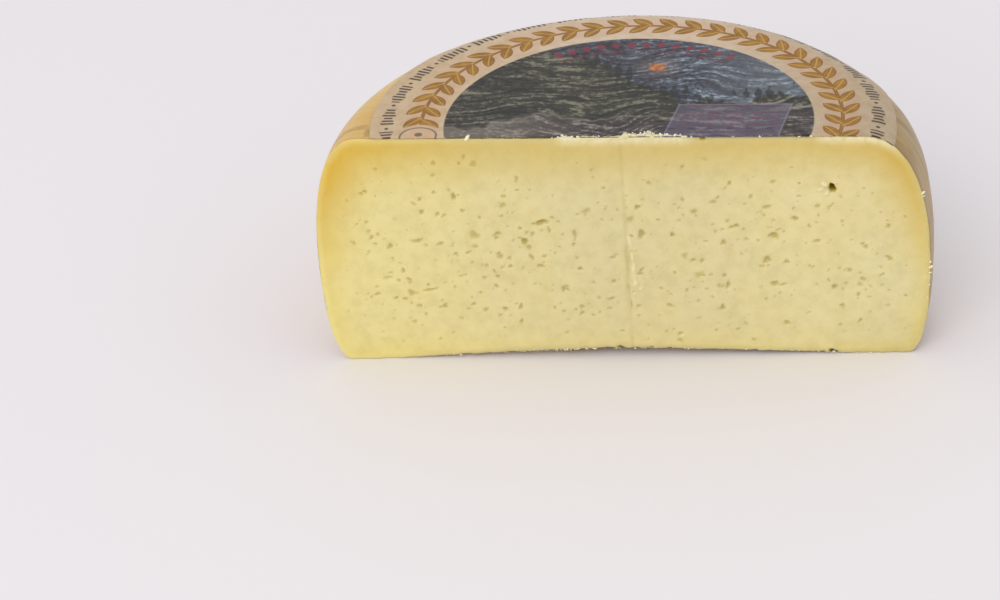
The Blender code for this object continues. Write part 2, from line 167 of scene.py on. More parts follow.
# Eyes that show largest: x, height, half length, half height, tilt in degrees, depth, bend, in millimetres
LARGE_EYES = (
    (48.2, 43.8, 0.85, 1.05, 20, 3.4, 0.0),
    (-17.2, 36.6, 1.5, 0.8, 10, 1.7, -0.25),
    (-21.4, 31.6, 1.0, 0.8, -30, 1.6, 0.0),
    (-20.5, 30.0, 0.5, 0.9, 35, 0.8, 0.0),
    (-15.6, 34.6, 0.5, 0.9, 10, 0.5, 0.0),
    (-32.8, 33.6, 1.2, 1.3, 0, 0.6, 0.0),
    (-32.8, 30.6, 0.7, 0.6, -30, 0.6, 0.0),
    (-36.7, 43.8, 0.5, 1.3, 0, 1.2, 0.0),
    (-37.6, 45.6, 0.5, 0.6, 20, 0.5, 0.0),
    (-46.2, 32.3, 1.8, 0.45, 15, 0.8, 0.35),
    (-52.7, 31.0, 0.9, 0.7, 30, 0.9, 0.0),
    (-9.8, 33.4, 0.5, 1.2, 0, 0.8, 0.0),
    (-10.2, 30.6, 0.5, 0.6, 0, 0.7, 0.0),
    (5.4, 33.1, 1.0, 1.1, 0, 1.2, 0.0),
    (35.1, 32.1, 1.5, 0.8, 0, 1.3, -0.3),
    (33.7, 39.4, 1.5, 0.4, 5, 0.8, 0.0),
    (33.6, 26.0, 0.9, 0.8, 30, 1.1, 0.0),
    (35.1, 19.4, 1.0, 0.7, 15, 1.1, 0.0),
    (37.0, 19.2, 0.9, 0.4, 10, 0.7, 0.0),
    (23.2, 13.3, 0.7, 0.8, 0, 1.0, 0.0),
    (24.5, 19.2, 0.6, 1.0, -20, 0.8, 0.0),
    (23.8, 21.8, 0.5, 0.5, 0, 0.8, 0.0),
    (23.8, 30.5, 0.9, 0.6, 35, 0.9, 0.0),
    (25.6, 45.6, 0.5, 0.5, 0, 1.1, 0.0),
    (24.6, 44.4, 0.4, 0.35, 0, 0.5, 0.0),
    (37.7, 8.8, 0.7, 0.8, 20, 0.8, 0.0),
    (26.8, 34.7, 0.8, 0.5, -15, 1.0, 0.0),
    (24.9, 36.0, 0.5, 0.5, 0, 0.6, 0.0),
    (-49.0, 18.3, 1.0, 1.0, 20, 0.8, 0.0),
    (-44.5, 19.0, 1.8, 0.5, 10, 0.8, 0.1),
    (-54.3, 22.6, 1.8, 0.3, 2, 0.6, 0.15),
    (-51.6, 21.8, 0.6, 0.5, -30, 0.6, 0.0),
    (-49.2, 22.0, 0.8, 0.45, -20, 0.7, 0.0),
    (-27.3, 27.7, 0.7, 0.8, 0, 0.8, 0.0),
    (-20.1, 27.4, 0.45, 1.1, 25, 0.8, 0.0),
    (-18.2, 25.0, 1.0, 0.5, -20, 0.9, 0.0),
    (-25.2, 25.0, 0.7, 0.5, -10, 0.8, 0.0),
    (-27.4, 33.9, 1.0, 0.35, 0, 0.9, 0.0),
    (-40.9, 31.5, 0.9, 0.4, 0, 0.9, 0.0),
    (-37.6, 28.4, 0.7, 0.35, -25, 0.7, 0.0),
    (44.9, 39.4, 0.8, 0.4, 10, 0.7, 0.0),
    (21.8, 41.0, 0.9, 0.5, 25, 0.6, 0.3),
    (37.9, 25.1, 0.8, 0.5, 10, 0.9, 0.0),
    (-2.5, 15.9, 0.9, 0.5, 10, 0.8, 0.0),
    (-6.7, 39.4, 1.1, 0.8, 10, 0.5, 0.0),
    (-1.5, 27.0, 0.8, 0.4, 0, 0.8, 0.0),
    (-1.6, 20.6, 0.7, 0.45, 0, 0.7, 0.0),
    (4.6, 22.8, 0.8, 0.5, 0, 0.7, 0.0),
    (3.0, 37.0, 0.9, 0.9, 0, 0.4, 0.0),
    (44.7, 30.4, 1.1, 0.4, 5, 0.8, 0.0),
    (55.6, 28.6, 0.7, 0.5, 0, 0.8, 0.0),
    (61.0, 25.3, 0.6, 0.5, 0, 0.7, 0.0),
    (-57.0, 45.5, 0.5, 0.45, 0, 0.9, 0.0),
    (-44.5, 43.3, 0.7, 0.45, 0, 0.8, 0.0),
    (-44.4, 40.2, 0.6, 0.5, 0, 0.8, 0.0),
    (-40.8, 39.3, 0.7, 0.5, 30, 0.8, 0.0),
    (-35.0, 40.1, 0.6, 0.5, 10, 0.8, 0.0),
    (-40.9, 49.4, 0.6, 0.4, 30, 0.5, 0.0),
    (-33.4, 54.0, 0.4, 0.7, -20, 0.6, 0.0),
    (-34.6, 52.4, 0.4, 0.4, 0, 0.8, 0.0),
    (-31.4, 52.2, 1.1, 0.8, 0, 0.4, 0.0),
    (-50.3, 24.4, 0.6, 0.7, 20, 0.8, 0.0),
    (18.0, 22.2, 1.2, 0.8, 0, 0.4, 0.4),
    (14.9, 27.2, 1.0, 0.8, 0, 0.4, 0.4),
    (-13.3, 18.6, 0.6, 0.8, 0, 0.8, 0.0),
    (-9.5, 12.0, 0.4, 0.8, -35, 0.7, 0.0),
    (3.0, 17.8, 0.4, 0.4, 0, 0.9, 0.0),
    (2.1, 14.6, 0.2, 2.0, 0, 0.6, 0.0),
)

# Chips out of the cut's edges: x, height, radius, in millimetres
EDGE_CHIPS = (
    (48.2, 0.6, 1.0),
    (45.8, 0.5, 0.5),
    (30.4, 0.9, 0.6),
    (6.3, 2.2, 0.6),
    (-0.9, 2.2, 0.9),
    (20.0, 57.0, 0.8),
    (68.0, 43.8, 0.5),
)
SMALL_EYE_COUNT = 420
SMALL_EYE_SIZES = (0.26 * MM, 0.58 * MM)
EYE_SEED = 23
EYE_DEPTH = 0.5
EYE_FREE_MARGIN = 4.0 * MM
DENSE_HEIGHT = 26.0 * MM
DENSE_SPREAD = 19.0 * MM


def scattered_eyes(count, least, most, seed):
    """Rows like those of LARGE_EYES, in metres: most at mid height, and none near the rind."""
    rng = np.random.default_rng(seed)
    tries = 12 * count
    x = rng.uniform(-WHEEL_RADIUS, WHEEL_RADIUS, tries)
    z = rng.uniform(0.0, WHEEL_HEIGHT, tries)
    crowd = 0.75 + 0.5 * soft_noise(x, z, 14.0 * MM, seed + 1)
    kept = rng.uniform(size=tries) < crowd * np.exp(-(((z - DENSE_HEIGHT) / DENSE_SPREAD) ** 2))
    kept &= (np.abs(x) < WHEEL_RADIUS - EYE_FREE_MARGIN) & (z > EYE_FREE_MARGIN)
    kept &= z < pressed_top(np.abs(x) + EYE_FREE_MARGIN, 0.0 * x) - EYE_FREE_MARGIN
    x, z = x[kept][:count], z[kept][:count]
    length = rng.uniform(least, most, len(x)) * rng.uniform(0.6, 1.4, len(x)) ** 1.5
    height = length * rng.uniform(0.35, 0.9, len(x))
    tilt = rng.uniform(-60.0, 60.0, len(x))
    return np.stack([x, z, length, height, tilt, length * rng.uniform(0.7, 1.4, len(x)), 0.0 * x], axis=1)


def eye_relief(x, z, eyes, seed):
    """Depth of each eye, and a darkness that grows with it, for painted shade: a wavy-rimmed bowl, tilted and
    bent.
    """
    depth, dark = np.zeros_like(x), np.zeros_like(x)
    phases = np.random.default_rng(seed).uniform(0.0, 2.0 * math.pi, (len(eyes), 2))
    for (cx, cz, length, height, tilt, deep, bend), (first, second) in zip(eyes, phases):
        near = np.hypot(x - cx, z - cz) < 1.6 * max(length, height)
        dx, dz = x[near] - cx, z[near] - cz
        turn = math.radians(tilt)
        along = dx * math.cos(turn) + dz * math.sin(turn)
        across = dz * math.cos(turn) - dx * math.sin(turn) - bend * along * along / max(length, 1e-6)
        round_it = np.arctan2(across / height, along / length)
        rim = 1.0 + 0.18 * np.sin(2.0 * round_it + first) + 0.14 * np.sin(3.0 * round_it + second)
        reach = np.hypot(along / length, across / height) / rim
        bowl = np.clip(1.0 - reach * reach, 0.0, 1.0)
        depth[near] = np.maximum(depth[near], deep * bowl**0.8)
        dark[near] = np.maximum(dark[near], np.clip(0.45 + deep / (1.6 * MM), 0.5, 2.6) * bowl**0.6)
    return depth, dark


# Torn flakes that stand out of the face, in rows like those of LARGE_EYES, with how far they stand as depth
FLAKES = (
    (46.5, 44.9, 1.3, 0.45, -25, 0.75, 0.0),
    (45.7, 43.6, 1.0, 0.4, 10, 0.65, 0.2),
    (46.9, 42.6, 0.8, 0.35, 35, 0.55, 0.0),
    (48.6, 45.3, 0.8, 0.3, -10, 0.45, 0.0),
    (2.6, 31.0, 0.3, 2.2, 8, 0.30, 0.0),
    (3.0, 27.2, 0.35, 1.8, 4, 0.35, 0.0),
    (3.2, 23.8, 0.45, 2.2, 2, 0.45, 0.0),
    (3.4, 20.4, 0.5, 1.2, -10, 0.45, 0.0),
    (4.6, 18.8, 0.9, 0.3, 40, 0.35, 0.0),
    (3.0, 17.6, 0.5, 0.5, -30, 0.35, 0.0),
    (6.2, 21.8, 0.4, 0.2, 0, 0.15, 0.0),
    (13.6, 5.6, 0.4, 0.5, 0, 0.3, 0.0),
)
CUT_STEP = 0.5 * MM
STEP_X = 2.4 * MM
STEP_HEIGHT = 23.0 * MM
STEP_SPREAD = 9.0 * MM


def cut_depth(x, z):
    """How far the face stands in front of the cut's plane.

    Where the strokes met, the right one is proud by a ramp that dies away, with a groove beside it. A slow
    wave of two sines bends the whole face.
    """
    wander = 0.5 * MM * soft_noise(z, 0.0 * z, 3.0 * MM, 5)
    height = np.exp(-(((z - STEP_HEIGHT) / STEP_SPREAD) ** 2))
    past = x - STEP_X - wander
    side = np.clip(past / (0.5 * MM), 0.0, 1.0) * np.exp(-np.maximum(past, 0.0) / STEP_SPREAD)
    uneven = 0.7 + 0.3 * soft_noise(z, 0.0 * z, 2.0 * MM, 6)
    groove = np.exp(-(((past + 0.55 * MM) / (0.4 * MM)) ** 2)) * uneven
    wave = 0.25 * MM * np.sin(x / (17.0 * MM)) * np.sin(z / (14.0 * MM) + 0.6)
    return CUT_STEP * height * (side - 0.9 * groove) + wave


def face_relief(x, z, rim_distance):
    """How far the cut face lies behind its plane at x, z, the painted shade in its holes, and how pale its
    torn curd.

    Eyes and chips are bowls cut into it, with painted shade that darkens as they deepen; flakes stand out of
    it, and noise gives its grain, the knife's drag and the tearing beside the rind. The groove at the seam of
    the
    two strokes gets painted shade: a dark bell-shaped line, with a faint one all the way up.
    """
    in_metres = np.array([MM, MM, MM, MM, 1.0, MM, 1.0])
    large = np.array(LARGE_EYES) * in_metres * np.array([1.0, 1.0, 1.0, 1.0, 1.0, EYE_DEPTH, 1.0])
    large[0, 5] = LARGE_EYES[0][5] * MM  # the first eye is a hole, and keeps its whole depth
    chips = [(along, up, size, 0.7 * size, 0.0, size, 0.0) for along, up, size in EDGE_CHIPS]
    small = scattered_eyes(SMALL_EYE_COUNT, *SMALL_EYE_SIZES, EYE_SEED)
    small[:, 5] *= EYE_DEPTH
    depth, dark = eye_relief(x, z, np.concatenate([large, small]), EYE_SEED)
    chipped, chip_shade = eye_relief(x, z, np.array(chips) * in_metres, EYE_SEED + 3)
    raised, pale = eye_relief(x, z, np.array(FLAKES) * in_metres, EYE_SEED + 4)
    grain = 0.03 * MM * soft_noise(x, z, 1.1 * MM, 31) + 0.05 * MM * soft_noise(x, z, 3.1 * MM, 32)
    drag = 0.03 * MM * soft_noise(x, 0.15 * z, 0.9 * MM, 33)
    # Painted shade in the chips, near black in the deepest.
    dark = np.maximum(dark, 2.2 * chip_shade)
    # Painted shade along the groove at the seam: a bell-shaped dark line, and a faint one all the way up.
    line = np.exp(-(((x - STEP_X + 0.6 * MM) / (0.45 * MM)) ** 2))
    seam = line * np.exp(-(((z - STEP_HEIGHT) / STEP_SPREAD) ** 2))
    dark = np.maximum(dark, seam * (0.45 + 0.35 * soft_noise(x, z, 1.2 * MM, 35)))
    dark = np.maximum(dark, line * (0.18 + 0.16 * soft_noise(x, z, 1.6 * MM, 36)))
    torn = 0.22 * MM * np.exp(-rim_distance / (0.45 * MM)) * (1.0 + 0.8 * soft_noise(x, z, 1.3 * MM, 34))
    relief = np.maximum(depth, chipped) + grain + drag + torn - raised - cut_depth(x, z)
    return relief, dark * (1.0 - np.clip(pale, 0.0, 1.0)), np.clip(pale, 0.0, 1.0)


LIP_X = (-13.0 * MM, 18.5 * MM)
LIP_HEIGHT = 0.45 * MM
TALL_LIP_X = (2.2 * MM, 13.6 * MM)
TALL_LIP_HEIGHT = 1.2 * MM
CREAM_X = (44.0 * MM, 64.0 * MM)
SCRAPE_HEIGHT = 0.22 * MM
NIBBLE_HEIGHT = 0.25 * MM
NIBBLE_HALF_WIDTH = 60.0 * MM
NIBBLE_FADE = 114.0  # a nibble fades by this power of e over the face's whole height
RIPPLE_HEIGHTS = (0.25 * MM, 0.16 * MM)


def between(x, low, high, run_in, run_out):
    """A smoothed box: 0 outside two places, up to 1 between them, with straight slopes of these lengths."""
    return np.clip((x - low) / run_in, 0.0, 1.0) * np.clip((high - x) / run_out, 0.0, 1.0)


def ragged_edge(x, part_up):
    """How far the cut's upper edge is raised by curd that tore, near the middle, and how pale it is.

    A low smoothed box along the edge, with a tall one on it, times two sizes of noise, fades down the face.
    """
    rise = between(x, *LIP_X, 2.0 * MM, 3.0 * MM)
    tall = between(x, *TALL_LIP_X, 0.6 * MM, 3.5 * MM)
    bite = 0.85 + 0.25 * soft_noise(x, 0.0 * x, 2.7 * MM, 61) + 0.35 * soft_noise(x, 0.0 * x, 0.8 * MM, 62)
    lip = (LIP_HEIGHT * rise + (TALL_LIP_HEIGHT - LIP_HEIGHT) * tall) * np.clip(bite, 0.3, 1.3)
    scrape = SCRAPE_HEIGHT * np.clip(soft_noise(x, 0.0 * x, 1.1 * MM, 63), 0.0, 1.0)
    below = (1.0 - part_up) * WHEEL_HEIGHT
    cream = np.maximum(rise, between(x, *CREAM_X, 3.0 * MM, 5.0 * MM))
    return (lip + scrape) * np.exp(-((below / (0.5 * MM)) ** 2)), cream * np.exp(-((below / (1.5 * MM)) ** 2))


def cheese_loops():
    """Closed loops of the half wheel, each from the base up the cut face, back over the top and under again.

    Columns stand along the cut from its left end to its right. From each, the rind runs along a straight line
    in plan to its own place on the rim, at sine spacing, so the rows crowd together on the rounded edges.
    """
    half_chord = math.sqrt(WHEEL_RADIUS**2 - CUT_OFFSET**2)
    step = np.linspace(-1.0, 1.0, COLUMNS + 1)[:, None]
    sweep = 0.5 * math.pi * step * (1.0 - MIDDLE_CROWDING * (1.0 - step * step))
    overlap = math.asin(CUT_OFFSET / WHEEL_RADIUS)
    angle = 0.5 * math.pi - sweep * (1.0 + overlap / (0.5 * math.pi))
    front_x, front_y = half_chord * np.sin(sweep), -CUT_OFFSET + 0.0 * sweep
    rim_x, rim_y = WHEEL_RADIUS * np.cos(angle), WHEEL_RADIUS * np.sin(angle)
    front_radius, front_angle = np.hypot(front_x, front_y), np.arctan2(front_y, front_x)
    length = np.hypot(rim_x - front_x, rim_y - front_y)
    rise = np.linspace(0.0, 1.0, FACE_ROWS + 1)[None, :]
    low, high = base_height(front_radius, front_angle), top_height(front_radius, front_angle)
    face_z = low + (high - low) * rise
    face = press(front_x + 0.0 * rise, front_y + 0.0 * rise, face_z)

    def rind(rows, height):
        """Rows from the cut to the rim at one height rule, two of them close behind the cut's edge."""
        steps = np.sin(0.5 * math.pi * np.linspace(0.0, 1.0, rows + 1)[None, 1:]) + 0.0 * sweep
        close = np.array(EDGE_ROW_STEPS)[None, :] / np.maximum(length, 6.0 * MM)
        part = np.concatenate([close, steps[:, 1:]], axis=1)
        x = front_x * (1.0 - part) + rim_x * part
        y = front_y * (1.0 - part) + rim_y * part
        return part, x, y, height(np.minimum(np.hypot(x, y), WHEEL_RADIUS), np.arctan2(y, x))

    top_part, top_x, top_y, top_z = rind(TOP_ROWS, top_height)
    base_part, base_x, base_y, base_z = (grid[:, ::-1] for grid in rind(BASE_ROWS, base_height))
    part = np.concatenate([top_part, base_part], axis=1)
    pairs = (top_x, base_x), (top_y, base_y), (top_z, base_z)
    back = press(*(np.concatenate(pair, axis=1) for pair in pairs))
    return face, back, part


def distance_to(x, z, outline_x, outline_z):
    """Least distance from each point to the outline's points, worked out a column at a time."""
    reach = np.empty_like(x)
    for column in range(len(x)):
        gap = np.hypot(x[column][:, None] - outline_x[None, :], z[column][:, None] - outline_z[None, :])
        reach[column] = gap.min(axis=1)
    return reach


def build_cheese(materials):
    """The cheese piece about the wheel's own centre: the face with its relief, and the rind with low ripples.

    The rind's first rows follow the face's relief and forget it by the sixth power of the way back.
    """
    (face_x, face_y, face_z), (back_x, back_y, back_z), part = cheese_loops()
    outline_x = np.concatenate([face_x[:, 0], face_x[::-1, -1]])
    outline_z = np.concatenate([face_z[:, 0], face_z[::-1, -1]])
    rim_distance = distance_to(face_x, face_z, outline_x, outline_z)
    relief, dark, pale = face_relief(face_x, face_z, rim_distance)
    up = np.linspace(0.0, 1.0, FACE_ROWS + 1)[None, :] + 0.0 * face_x
    raised, lip_pale = ragged_edge(face_x, up)
    nibble = NIBBLE_HEIGHT * np.clip(soft_noise(face_x, 0.0 * face_x, 1.6 * MM, 64), 0.0, 1.0)
    nibble = nibble * np.clip(1.0 - np.abs(face_x) / NIBBLE_HALF_WIDTH, 0.0, 1.0) * np.exp(-up * NIBBLE_FADE)
    face_z = face_z + raised + nibble
    new_y = -CUT_OFFSET + relief - 0.25 * raised
    fade = np.clip(1.0 - part, 0.0, 1.0) ** 6
    on_top = np.arange(part.shape[1])[None, :] < TOP_ROWS + len(EDGE_ROW_STEPS) - 1
    back_y = back_y + np.where(on_top, new_y[:, -1:] - face_y[:, -1:], new_y[:, :1] - face_y[:, :1]) * fade
    around = WHEEL_RADIUS * np.arctan2(back_y, back_x)
    ripple = RIPPLE_HEIGHTS[0] * soft_noise(around, back_z, 9.0 * MM, 41)
    ripple = ripple + RIPPLE_HEIGHTS[1] * soft_noise(around, 0.3 * back_z, 2.6 * MM, 42)
    side = np.clip(1.0 - np.abs(back_z - 30.0 * MM) / (28.0 * MM), 0.0, 1.0) * (1.0 - fade)
    pinch = 1.0 - np.abs(ripple) * side / np.maximum(np.hypot(back_x, back_y), MM)
    back_x, back_y = back_x * pinch, back_y * pinch
    loops = np.stack([
        np.concatenate([face_x, back_x], axis=1),
        np.concatenate([new_y, back_y], axis=1),
        np.concatenate([face_z, back_z], axis=1),
    ], axis=-1)
    poles = loops[0].mean(axis=0), loops[-1].mean(axis=0)
    thing, rows = skin_object("half_cheese", loops[1:-1], *poles, materials)
    blank = np.zeros_like(back_x)
    torn = np.clip(pale + lip_pale, 0.0, 1.0)
    flat = np.zeros_like(face_x)
    # The painted shade of the eyes, chips and seam groove goes to the paste as a value for each point.
    pairs = {"rim_distance": (rim_distance / MM, blank), "painted_recess_shade": (dark, blank), "torn": (torn, blank)}
    pairs["around"] = (flat, around / MM)
    for name, pair in pairs.items():
        whole = np.concatenate(pair, axis=1)
        add_attribute(thing, name, np.concatenate([whole[1:-1].ravel(), whole[0, :1], whole[-1, :1]]))
    thing.data.polygons.foreach_set("material_index", (rows >= FACE_ROWS).astype(np.int32))
    return thing


def from_hex(text):
    """An sRGB hex colour as linear red, green, blue and alpha."""
    values = np.array([int(text[i : i + 2], 16) for i in (1, 3, 5)]) / 255.0
    linear = np.where(values <= 0.04045, values / 12.92, ((values + 0.055) / 1.055) ** 2.4)
    return (*[float(value) for value in linear], 1.0)


def add_node(tree, kind, settings=None, links=None):
    """Adds a node with its settings, fills its inputs with values, hex colours or links, and returns it."""
    node = tree.nodes.new(kind)
    for name, value in (settings or {}).items():
        setattr(node, name, value)
    for key, value in (links or {}).items():
        value = getattr(value, "socket", value)
        if isinstance(value, bpy.types.NodeSocket):
            tree.links.new(value, node.inputs[key])
        else:
            node.inputs[key].default_value = from_hex(value) if isinstance(value, str) else value
    return node


class Reading:
    """A number read off the surface. Arithmetic on it adds the nodes that work the result out."""

    def __init__(self, socket):
        self.socket = socket

    def work(self, operation, *others):
        """The result of one arithmetic node on this reading and the others."""
        settings, links = {"operation": operation}, dict(enumerate((self, *others)))
        return Reading(add_node(self.socket.id_data, "ShaderNodeMath", settings, links).outputs[0])

    def rise(self, start, end):
        """0 up to the start and 1 past the end, straight between."""
        links = {"Value": self, 1: start, 2: end, 3: 0.0, 4: 1.0}
        return Reading(add_node(self.socket.id_data, "ShaderNodeMapRange", links=links).outputs[0])

    def least(self, other):
        """The smaller of two."""
        return self.work("MINIMUM", other)

    def most(self, other):
        """The greater of two."""
        return self.work("MAXIMUM", other)

    def __add__(self, other):
        return self.work("ADD", other)

    def __sub__(self, other):
        return self.work("SUBTRACT", other)

    def __rsub__(self, other):
        return self.work("MULTIPLY_ADD", -1.0, other)

    def __mul__(self, other):
        return self.work("MULTIPLY", other)

    def __truediv__(self, other):
        return self.work("DIVIDE", other)

    def __abs__(self):
        return self.work("ABSOLUTE")


def new_material(name):
    """A material with nothing but its shader and output. Returns the material, its tree and the shader."""
    material = bpy.data.materials.new(name)
    material.use_nodes = True
    tree = material.node_tree
    return material, tree, tree.nodes["Principled BSDF"]


def shades(tree, value, stops, interpolation="LINEAR"):
    """The colour or number for each value, between these places and their colours or numbers."""
    node = add_node(tree, "ShaderNodeValToRGB", links={"Fac": value})
    node.color_ramp.interpolation = interpolation
    while len(node.color_ramp.elements) < len(stops):
        node.color_ramp.elements.new(0.5)
    for element, (place, colour) in zip(node.color_ramp.elements, stops):
        element.position = place
        element.color = from_hex(colour) if isinstance(colour, str) else (colour, colour, colour, 1.0)
    return Reading(node.outputs["Color"])


def laid_over(tree, under, amount, over, mode="MIX"):
    """One colour laid over another by an amount."""
    settings, links = {"data_type": "RGBA", "blend_type": mode}, {0: amount, 6: under, 7: over}
    return Reading(add_node(tree, "ShaderNodeMix", settings, links).outputs[2])


def paste_material():
    """Goat's curd, pressed and cured: pale yellow, a little see-through, amber where it dried at the rind."""
    material, tree, shader = new_material("goat_curd_paste")
    place = add_node(tree, "ShaderNodeTexCoord").outputs["Object"]
    axes = add_node(tree, "ShaderNodeSeparateXYZ", links={"Vector": place})
    along, up = Reading(axes.outputs["X"]), Reading(axes.outputs["Z"])

    def noise(scale, detail):
        """Noise from 0 to 1 with so many swells to the metre."""
        links = {"Vector": place, "Scale": scale, "Detail": detail, "Roughness": 0.6}
        return Reading(add_node(tree, "ShaderNodeTexNoise", links=links).outputs[0])

    def kept(name):
        """A number that the mesh keeps for each of its points."""
        return Reading(add_node(tree, "ShaderNodeAttribute", {"attribute_name": name}).outputs["Fac"])

    sides = laid_over(tree, "#e6db9b", along.rise(-0.050, 0.060), "#e7dca6")
    colour = laid_over(tree, sides, abs(along - 0.004).rise(0.058, 0.008), "#ddd2a0")
    mottle = shades(tree, noise(300.0, 6.0), ((0.34, "#f4f3ed"), (0.52, "#fcfbf8"), (0.66, "#ffffff")))
    colour = laid_over(tree, colour, 1.0, mottle, "MULTIPLY")
    colour = laid_over(tree, colour, noise(70.0, 3.0).rise(0.45, 0.70) * 0.25, "#e6d890")

    edge = kept("rim_distance")
    upper, lower = up.rise(0.020, 0.050), up.rise(0.012, 0.002)
    left, right = along.rise(-0.030, -0.066), along.rise(0.040, 0.066)
    corner = upper * left.most(right * 0.8)
    strength = upper * 0.42 + corner * 0.18 + left * 0.18 + right * 0.12 + lower * right * 0.12 + 0.18
    share = (edge + noise(60.0, 3.0) * 6.0 - 3.0) / (upper * 9.0 + left * 2.0 + 7.0)
    band = shades(tree, share, ((0.0, 0.85), (0.13, 1.0), (0.38, 0.62), (0.66, 0.24), (1.0, 0.0)))
    amber = laid_over(tree, laid_over(tree, "#e8cf52", upper, "#cdb04c"), corner, "#d8b138")
    colour = laid_over(tree, colour, band * strength.least(0.95), amber)
    outermost = (edge + noise(260.0, 3.0) * 1.4 - 0.7) / 1.7
    skin = shades(tree, outermost, ((0.0, 0.72), (0.4, 0.45), (1.0, 0.0)), "EASE")
    dry = laid_over(tree, laid_over(tree, "#cfc186", right, "#d9c985"), left, "#e9dd98")
    colour = laid_over(tree, colour, skin * (1.0 - corner * 0.55), dry)

    # Painted shade in the eyes, chips and seam groove: olive, and near black in the deep hole and the gash.
    dark = kept("painted_recess_shade")
    colour = laid_over(tree, colour, dark.rise(0.0, 1.35), "#a58d12")
    colour = laid_over(tree, colour, dark.rise(1.9, 2.6), "#3b2c0a")

    jitter = add_node(tree, "ShaderNodeTexNoise", links={"Vector": place, "Scale": 700.0, "Detail": 2.0})
    links = {0: jitter.outputs["Color"], 1: (0.0009, 0.0009, 0.0009), 2: place}
    lumpy = add_node(tree, "ShaderNodeVectorMath", {"operation": "MULTIPLY_ADD"}, links).outputs[0]
    links = {"Vector": lumpy, "Scale": (0.75, 0.0, 1.15)}
    squash = add_node(tree, "ShaderNodeMapping", links=links).outputs[0]
    cells = add_node(tree, "ShaderNodeTexVoronoi", links={"Vector": squash, "Scale": 420.0})
    parts = add_node(tree, "ShaderNodeSeparateColor", links={"Color": cells.outputs["Color"]})
    pick = Reading(parts.outputs[0])
    pore = (pick.rise(0.35, 1.0) * 0.23 - Reading(cells.outputs["Distance"])).rise(0.0, 0.07)
    pore = pore * edge.rise(4.0, 9.0) * (noise(90.0, 2.0).rise(0.40, 0.62) * 0.6 + 0.4)
    # Painted shade in the pores' tiny pits: olive.
    colour = laid_over(tree, colour, pore * 0.6, "#b9a23a")

    # Painted shade: the right of the face is darkened by a grey, more so low down.
    colour = laid_over(tree, colour, right * (lower * 0.25 + 0.25), "#dedede", "MULTIPLY")
    torn = kept("torn") * (noise(900.0, 3.0).rise(0.3, 0.6) * 0.5 + 0.5)
    colour = laid_over(tree, colour, torn * 0.9, "#efe6bd")
    tree.links.new(colour.socket, shader.inputs["Base Color"])

    height = noise(1100.0, 4.0) * 0.12 - pore * 0.22
    bump = add_node(tree, "ShaderNodeBump", links={"Strength": 0.8, "Distance": 0.0010, "Height": height})
    tree.links.new(bump.outputs[0], shader.inputs["Normal"])
    shader.inputs["Roughness"].default_value = 0.5
    shader.inputs["IOR"].default_value = 1.42
    shader.inputs["Specular IOR Level"].default_value = 0.35
    shader.inputs["Subsurface Weight"].default_value = 0.3
    shader.inputs["Subsurface Radius"].default_value = (1.0, 0.7, 0.3)
    shader.inputs["Subsurface Scale"].default_value = 0.0018
    return material


def rind_material():
    """Cured rind: smooth, slightly greasy ochre skin, finely wrinkled down its sides; grey bloom, painted
    sheen and shade.
    """
    material, tree, shader = new_material("cured_rind")
    place = add_node(tree, "ShaderNodeTexCoord").outputs["Object"]
    axes = add_node(tree, "ShaderNodeSeparateXYZ", links={"Vector": place})
    across, behind, up = (Reading(axes.outputs[name]) for name in "XYZ")

    def noise(vector, scale, detail):
        """Noise from 0 to 1 with so many swells to the vector's unit."""
        links = {"Vector": vector, "Scale": scale, "Detail": detail}
        return Reading(add_node(tree, "ShaderNodeTexNoise", links=links).outputs[0])

    around = add_node(tree, "ShaderNodeAttribute", {"attribute_name": "around"}).outputs["Fac"]
    down = add_node(tree, "ShaderNodeCombineXYZ", links={"X": around, "Y": up * 160.0}).outputs[0]
    streak, broad = noise(down, 0.55, 5.0), noise(place, 38.0, 5.0)
    amber = shades(tree, broad, ((0.30, "#c2974a"), (0.50, "#d6ae5c"), (0.72, "#dcc07c")))
    tan = shades(tree, broad, ((0.32, "#8c6c2c"), (0.50, "#b4924a"), (0.68, "#c6b076")))
    # The right side is a darker tan: partly the rind's own tone, partly painted shade on the shoulder turned
    # from the light.
    side = across.rise(-0.03, 0.055)
    colour = laid_over(tree, amber, side, tan)
    # Pale streaks on the ridges of the wrinkles: partly a grey bloom, partly painted sheen.
    colour = laid_over(tree, colour, streak.rise(0.46, 0.66) * (side * 0.50 + 0.10), "#b8ac86")
    # Dark streaks in the troughs of the wrinkles: painted shade.
    colour = laid_over(tree, colour, streak.rise(0.48, 0.28) * (side * 0.36 + 0.20), "#84662c")
    # Painted shade on the right side near the cut: a darker band, and a thin dark line along the cut's edge.
    colour = laid_over(tree, colour, behind.rise(-0.020, -0.036) * side * 0.65, "#98762c")
    colour = laid_over(tree, colour, behind.rise(-0.0344, -0.0374) * side * 0.7, "#75622c")
    tree.links.new(colour.socket, shader.inputs["Base Color"])
    height = noise(place, 420.0, 4.0) * 0.25 + streak
    bump = add_node(tree, "ShaderNodeBump", links={"Strength": 0.6, "Distance": 0.0007, "Height": height})
    tree.links.new(bump.outputs[0], shader.inputs["Normal"])
    shader.inputs["Roughness"].default_value = 0.42
    shader.inputs["Specular IOR Level"].default_value = 0.4
    shader.inputs["Coat Weight"].default_value = 0.18
    shader.inputs["Coat Roughness"].default_value = 0.22
    shader.inputs["Subsurface Weight"].default_value = 0.25
    shader.inputs["Subsurface Radius"].default_value = (1.0, 0.65, 0.3)
    shader.inputs["Subsurface Scale"].default_value = 0.002
    return material


